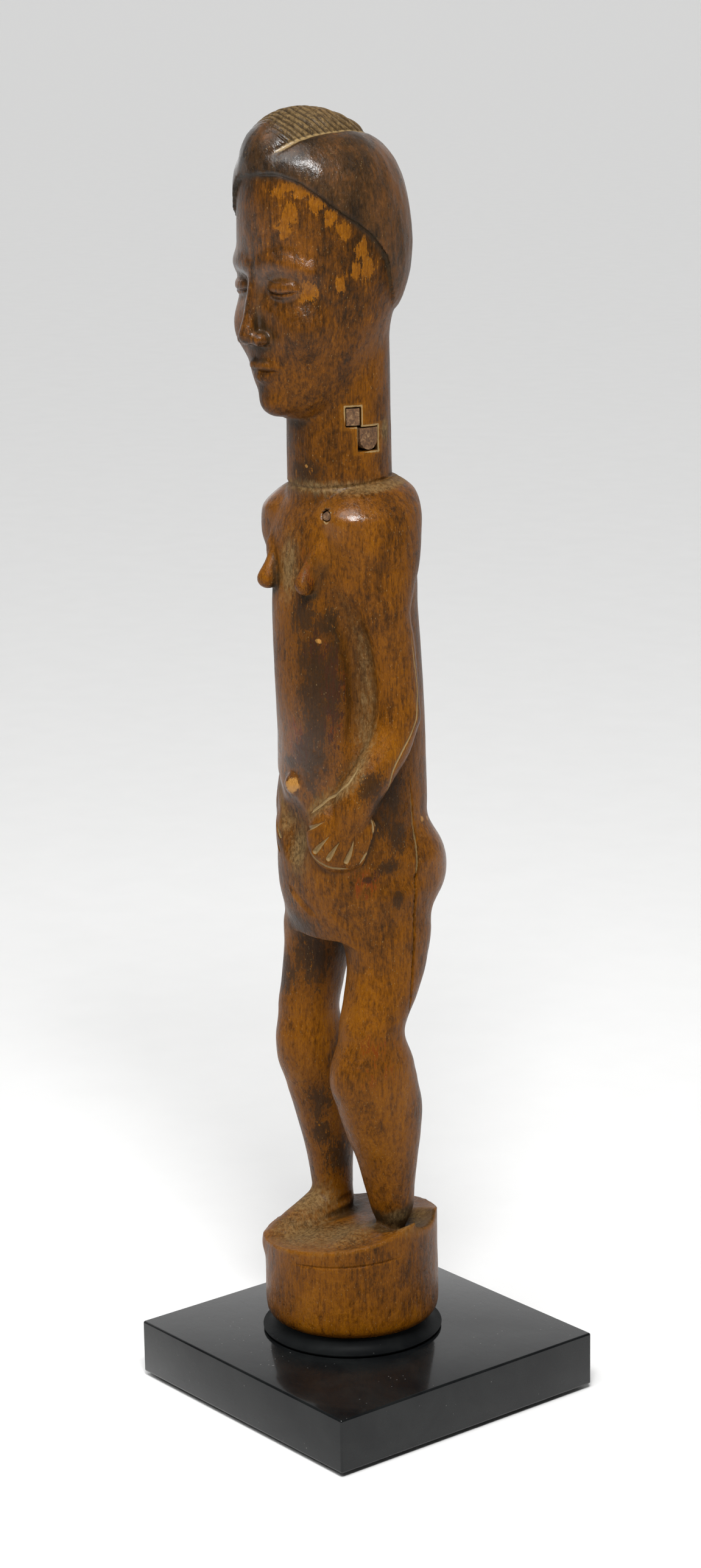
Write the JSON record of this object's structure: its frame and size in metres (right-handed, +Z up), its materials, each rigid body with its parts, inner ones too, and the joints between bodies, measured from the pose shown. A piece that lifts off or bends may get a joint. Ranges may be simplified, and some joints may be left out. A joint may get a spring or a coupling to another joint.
{
  "type": "carved ancestor figure",
  "caption": "Standing female ancestor figure carved with its drum pedestal from one block of hardwood, screwed to a square black display base on felt pads.",
  "frame": {"origin": "on the ground under the middle of the square plinth", "axes": "+Z up, the figure faces -Y and its left side is +X"},
  "size_m": [0.1, 0.1, 0.3949],
  "materials": {
    "carved_wood": "waxed and handled old hardwood, dark patina with dust in the recesses",
    "let_in_wood": "dry old filler wood",
    "black_lacquer": "gloss black lacquer on wood",
    "zinc_steel": "zinc plated",
    "black_felt": "pressed felt"
  },
  "bodies": {
    "root": {"carved_figure": "carved_wood", "neck_peg": "let_in_wood", "neck_patch": "let_in_wood", "chest_plug": "let_in_wood", "riser_disc": "black_lacquer", "plinth": "black_lacquer", "mount_screw_front": "zinc_steel", "mount_screw_rear": "zinc_steel", "washer_front": "zinc_steel", "washer_rear": "zinc_steel", "felt_pad_front_left": "black_felt", "felt_pad_front_right": "black_felt", "felt_pad_rear_left": "black_felt", "felt_pad_rear_right": "black_felt"}
  },
  "joints": []
}
